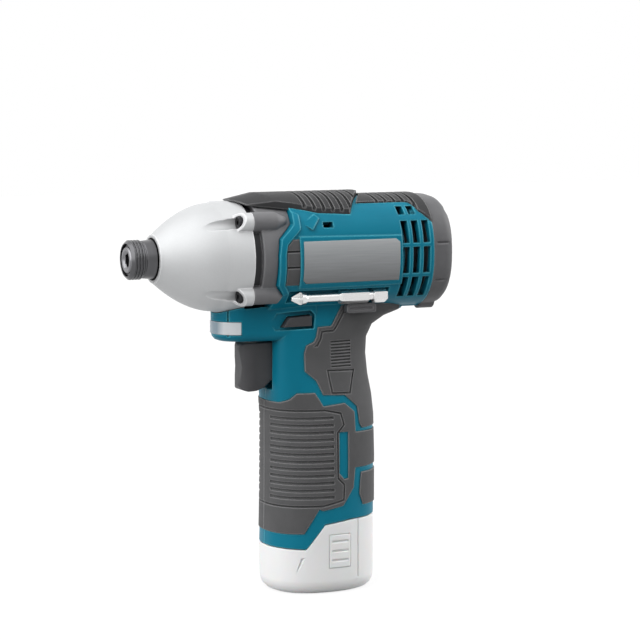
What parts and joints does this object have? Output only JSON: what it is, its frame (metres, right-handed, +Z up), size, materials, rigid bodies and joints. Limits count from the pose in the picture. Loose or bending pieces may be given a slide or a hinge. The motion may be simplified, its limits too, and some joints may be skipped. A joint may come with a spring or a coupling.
{
  "type": "impact driver",
  "caption": "pistol-grip cordless impact driver with cast nose, hex bit sleeve, ribbed soft grip, chin light, side-stored bit and a battery that slides into the grip",
  "frame": {"origin": "centre of the bounding box, at the level of the battery foot", "axes": "+Z up along the grip, -X toward the nose and the bit socket, -Y toward the side that stores the bit"},
  "size_m": [0.16, 0.058, 0.1942],
  "materials": {
    "teal_abs": "moulded ABS, fine satin texture",
    "soft_grey": "soft overmould, fine matte grain",
    "dark_nylon": "glass-filled nylon, matte",
    "cast_alloy": "die-cast, bead blasted and satin",
    "black_steel": "turned and black oxide",
    "bright_steel": "ground steel",
    "gear_steel": "sintered steel, oiled",
    "zinc_screw": "zinc plated",
    "bronze": "sintered bronze",
    "black_rubber": "felt and rubber washer",
    "label_grey": "anodised sheet, satin, bare",
    "clear_lens": "clear polycarbonate",
    "board_green": "glass-epoxy board",
    "trigger_grey": "moulded nylon, matte",
    "black_plastic": "moulded, matte",
    "ivory_plastic": "moulded, natural",
    "magnet_black": "sintered ferrite",
    "copper": "enamelled copper",
    "contact_brass": "nickel-brass strip",
    "pale_plastic": "moulded, light satin",
    "cell_sleeve": null
  },
  "bodies": {
    "housing": {"hammer_case": "cast_alloy", "case_screws": "black_steel", "gear_case": "dark_nylon", "ring_gear": "gear_steel", "gear_cover": "dark_nylon", "spindle_bearing": "bright_steel", "anvil_bush": "bronze", "front_washer": "black_rubber", "motor_can": "zinc_screw", "motor_magnets": "magnet_black", "motor_end_bell": "ivory_plastic", "brushes": "magnet_black", "shell_left": "teal_abs", "shell_right": "teal_abs", "overmould_left": "soft_grey", "overmould_right": "soft_grey", "label_left": "label_grey", "rear_cap": "dark_nylon", "cap_screws": "zinc_screw", "shell_screws": "zinc_screw", "light_lens": "clear_lens", "light_board": "board_green", "switch_body": "black_plastic", "trigger_spring": "bright_steel", "bit_clip": "dark_nylon", "terminal_block": "black_plastic", "terminal_blades": "contact_brass"},
    "anvil": {"anvil": "bright_steel", "detent_balls": "bright_steel", "retaining_ring": "black_steel", "sleeve_spring": "bright_steel"},
    "sleeve": {"bit_sleeve": "black_steel"},
    "spindle": {"cam_spindle": "gear_steel", "planet_pins": "bright_steel", "cam_balls": "bright_steel", "hammer_spring": "bright_steel"},
    "hammer": {"hammer": "gear_steel"},
    "planet_1": {"planet_gear_1": "gear_steel"},
    "planet_2": {"planet_gear_2": "gear_steel"},
    "planet_3": {"planet_gear_3": "gear_steel"},
    "rotor": {"motor_shaft": "bright_steel", "sun_pinion": "gear_steel", "rotor_core": "gear_steel", "rotor_windings": "copper", "commutator": "copper", "cooling_fan": "ivory_plastic"},
    "trigger": {"trigger": "trigger_grey"},
    "selector": {"selector": "black_plastic"},
    "bit": {"stored_bit": "bright_steel"},
    "battery": {"battery_base": "pale_plastic", "battery_tower": "pale_plastic", "battery_cells": "cell_sleeve", "battery_contacts": "contact_brass"},
    "latch_left": {"latch_left": "pale_plastic"},
    "latch_right": {"latch_right": "pale_plastic"}
  },
  "joints": [
    {"name": "spindle_spin", "type": "hinge", "parent": "housing", "child": "spindle", "pos_m": [0, 0, 0.164], "axis": [1, 0, 0], "continuous": true},
    {"name": "hammer_slide", "type": "slide", "parent": "spindle", "child": "hammer", "axis": [1, 0, 0], "range_m": [0, 0.008], "stiffness_N_per_m": 4000, "deforming": ["hammer_spring"]},
    {"name": "anvil_spin", "type": "hinge", "parent": "housing", "child": "anvil", "pos_m": [0, 0, 0.164], "axis": [1, 0, 0], "continuous": true},
    {"name": "sleeve_slide", "type": "slide", "parent": "anvil", "child": "sleeve", "axis": [-1, 0, 0], "range_m": [0, 0.005], "stiffness_N_per_m": 600, "deforming": ["sleeve_spring"]},
    {"name": "rotor_spin", "type": "hinge", "parent": "housing", "child": "rotor", "pos_m": [0, 0, 0.164], "axis": [1, 0, 0], "continuous": true},
    {"name": "planet_1_spin", "type": "hinge", "parent": "spindle", "child": "planet_1", "pos_m": [0, 0, 0.17555], "axis": [1, 0, 0], "continuous": true},
    {"name": "planet_2_spin", "type": "hinge", "parent": "spindle", "child": "planet_2", "pos_m": [0, -0.01, 0.15823], "axis": [1, 0, 0], "continuous": true},
    {"name": "planet_3_spin", "type": "hinge", "parent": "spindle", "child": "planet_3", "pos_m": [0, 0.01, 0.15823], "axis": [1, 0, 0], "continuous": true},
    {"name": "trigger_slide", "type": "slide", "parent": "housing", "child": "trigger", "axis": [1, 0, 0], "range_m": [0, 0.006], "stiffness_N_per_m": 900, "deforming": ["trigger_spring"]},
    {"name": "selector_slide", "type": "slide", "parent": "housing", "child": "selector", "axis": [0, 1, 0], "range_m": [-0.0025, 0.0025]},
    {"name": "bit_pull", "type": "slide", "parent": "housing", "child": "bit", "axis": [0, -1, 0], "range_m": [0, 0.03]},
    {"name": "battery_slide", "type": "slide", "parent": "housing", "child": "battery", "axis": [0, 0, -1], "range_m": [0, 0.09]},
    {"name": "latch_left_push", "type": "slide", "parent": "battery", "child": "latch_left", "axis": [0, 1, 0], "range_m": [0, 0.002], "stiffness_N_per_m": 1200},
    {"name": "latch_right_push", "type": "slide", "parent": "battery", "child": "latch_right", "axis": [0, -1, 0], "range_m": [0, 0.002], "stiffness_N_per_m": 1200}
  ],
  "couplings": [
    {"joint": "anvil_spin", "follows": "spindle_spin", "ratio": 1},
    {"joint": "rotor_spin", "follows": "spindle_spin", "ratio": 5.5},
    {"joint": "planet_1_spin", "follows": "spindle_spin", "ratio": -2.5714},
    {"joint": "planet_2_spin", "follows": "spindle_spin", "ratio": -2.5714},
    {"joint": "planet_3_spin", "follows": "spindle_spin", "ratio": -2.5714}
  ]
}
